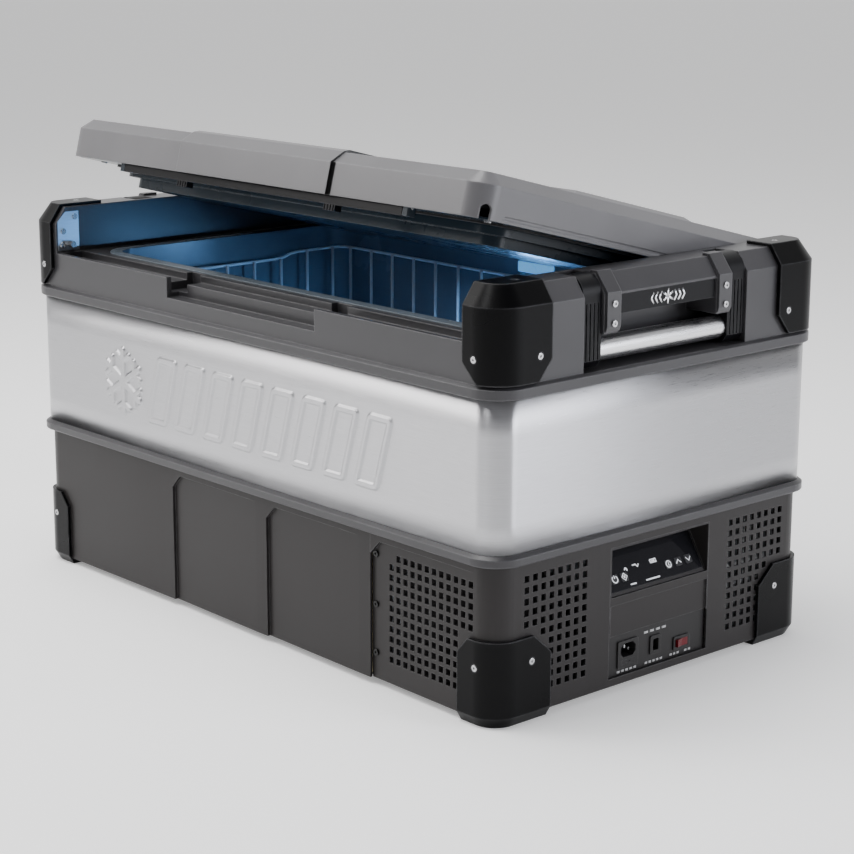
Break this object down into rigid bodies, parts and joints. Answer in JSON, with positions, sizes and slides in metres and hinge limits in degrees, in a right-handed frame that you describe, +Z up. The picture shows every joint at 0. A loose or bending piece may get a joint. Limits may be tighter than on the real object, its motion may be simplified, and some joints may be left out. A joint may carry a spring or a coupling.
{
  "type": "compressor cooler fridge",
  "caption": "Portable chest fridge with a lid between raised end walls, swing handles, corner guards, wire baskets and a vented machine bay with control and power panels.",
  "frame": {"origin": "on the floor under the middle of the body", "axes": "+X towards the end with the control panel, -Y towards the long front face, +Z up"},
  "size_m": [0.89, 0.53, 0.593],
  "materials": {
    "frame_plastic": "fine texture moulded",
    "trim_plastic": "satin moulded",
    "lid_plastic": "fine texture moulded",
    "base_plastic": "fine texture moulded",
    "guard_plastic": "textured moulded",
    "black_plastic": "satin moulded",
    "stainless": "brushed",
    "bright_steel": "zinc plated",
    "plate_steel": "plain sheet",
    "tube_aluminium": "satin anodised",
    "liner_plastic": "smooth moulded",
    "foam": "foamed",
    "seal_rubber": "matt",
    "coated_wire": "powder coated",
    "lamp": "diffuse lens",
    "compressor_paint": "semi gloss",
    "copper": "bare copper",
    "display_gloss": "gloss",
    "key_plastic": "satin",
    "switch_red": "gloss"
  },
  "bodies": {
    "root": {"ac_inlet": "black_plastic", "ac_inlet_pins": "bright_steel", "badge_plates": "black_plastic", "base_pan": "base_plastic", "bay_bulkhead": "plate_steel", "body_screws": "bright_steel", "bottom_guard_back_left": "guard_plastic", "bottom_guard_back_right": "guard_plastic", "bottom_guard_front_left": "guard_plastic", "bottom_guard_front_right": "guard_plastic", "compressor": "compressor_paint", "compressor_cover": "base_plastic", "compressor_mounts": "seal_rubber", "condenser": "tube_aluminium", "control_module": "black_plastic", "control_panel": "base_plastic", "dc_inlet": "black_plastic", "display_lens": "display_gloss", "evaporator": "tube_aluminium", "fan_frame": "black_plastic", "handle_brackets": "frame_plastic", "hinge_pins": "bright_steel", "hinge_plates": "plate_steel", "inner_tub": "liner_plastic", "insulation_foam": "foam", "led_lamp": "lamp", "lower_body_shell": "base_plastic", "lower_trim_bead": "trim_plastic", "main_basket": "coated_wire", "power_panel": "black_plastic", "refrigerant_pipes": "copper", "steel_wrap": "stainless", "step_basket": "coated_wire", "switch_frame": "black_plastic", "top_guard_back_left": "guard_plastic", "top_guard_back_right": "guard_plastic", "top_guard_front_left": "guard_plastic", "top_guard_front_right": "guard_plastic", "upper_frame": "frame_plastic"},
    "lid": {"lid_shell": "lid_plastic", "lid_liner": "liner_plastic", "lid_foam": "foam", "lid_gasket": "seal_rubber", "lid_fixings": "bright_steel"},
    "front_latch": {"front_latch": "black_plastic"},
    "rear_latch": {"rear_latch": "black_plastic"},
    "right_handle": {"right_handle_arms": "black_plastic", "right_handle_tube": "tube_aluminium", "right_handle_axle": "bright_steel"},
    "left_handle": {"left_handle_arms": "black_plastic", "left_handle_tube": "tube_aluminium", "left_handle_axle": "bright_steel"},
    "power_key": {"power_key": "key_plastic"},
    "zone_key": {"zone_key": "key_plastic"},
    "set_key": {"set_key": "key_plastic"},
    "up_key": {"up_key": "key_plastic"},
    "down_key": {"down_key": "key_plastic"},
    "rocker": {"rocker_switch": "switch_red"},
    "fuse_drawer": {"fuse_drawer": "black_plastic"},
    "fan_rotor": {"fan_rotor": "black_plastic"}
  },
  "joints": [
    {"name": "lid_hinge", "type": "hinge", "parent": "root", "child": "lid", "pos_m": [0, 0.238, 0.43], "axis": [-1, 0, 0], "range_deg": [-14.4, 75.6]},
    {"name": "front_latch_turn", "type": "hinge", "parent": "lid", "child": "front_latch", "pos_m": [0, -0.22647, 0.54306], "axis": [1, 0, 0], "range_deg": [0, 9], "stiffness_Nm_per_rad": 2},
    {"name": "rear_latch_turn", "type": "hinge", "parent": "lid", "child": "rear_latch", "pos_m": [0, 0.23845, 0.42369], "axis": [-1, 0, 0], "range_deg": [0, 9], "stiffness_Nm_per_rad": 2},
    {"name": "right_handle_swing", "type": "hinge", "parent": "root", "child": "right_handle", "pos_m": [0.414, 0, 0.457], "axis": [0, -1, 0], "range_deg": [0, 95]},
    {"name": "left_handle_swing", "type": "hinge", "parent": "root", "child": "left_handle", "pos_m": [-0.414, 0, 0.457], "axis": [0, 1, 0], "range_deg": [0, 95]},
    {"name": "power_key_press", "type": "slide", "parent": "root", "child": "power_key", "axis": [-0.8542, 0, -0.5199], "range_m": [0, 0.0008], "stiffness_N_per_m": 400},
    {"name": "zone_key_press", "type": "slide", "parent": "root", "child": "zone_key", "axis": [-0.8542, 0, -0.5199], "range_m": [0, 0.0008], "stiffness_N_per_m": 400},
    {"name": "set_key_press", "type": "slide", "parent": "root", "child": "set_key", "axis": [-0.8542, 0, -0.5199], "range_m": [0, 0.0008], "stiffness_N_per_m": 400},
    {"name": "up_key_press", "type": "slide", "parent": "root", "child": "up_key", "axis": [-0.8542, 0, -0.5199], "range_m": [0, 0.0008], "stiffness_N_per_m": 400},
    {"name": "down_key_press", "type": "slide", "parent": "root", "child": "down_key", "axis": [-0.8542, 0, -0.5199], "range_m": [0, 0.0008], "stiffness_N_per_m": 400},
    {"name": "rocker_tilt", "type": "hinge", "parent": "root", "child": "rocker", "pos_m": [0.428, 0.0465, 0.033], "axis": [0, 0, -1], "range_deg": [0, 16]},
    {"name": "fuse_drawer_pull", "type": "slide", "parent": "root", "child": "fuse_drawer", "axis": [1, 0, 0], "range_m": [0, 0.012]},
    {"name": "fan_spin", "type": "hinge", "parent": "root", "child": "fan_rotor", "pos_m": [0.381, 0.165, 0.091], "axis": [1, 0, 0], "continuous": true}
  ]
}
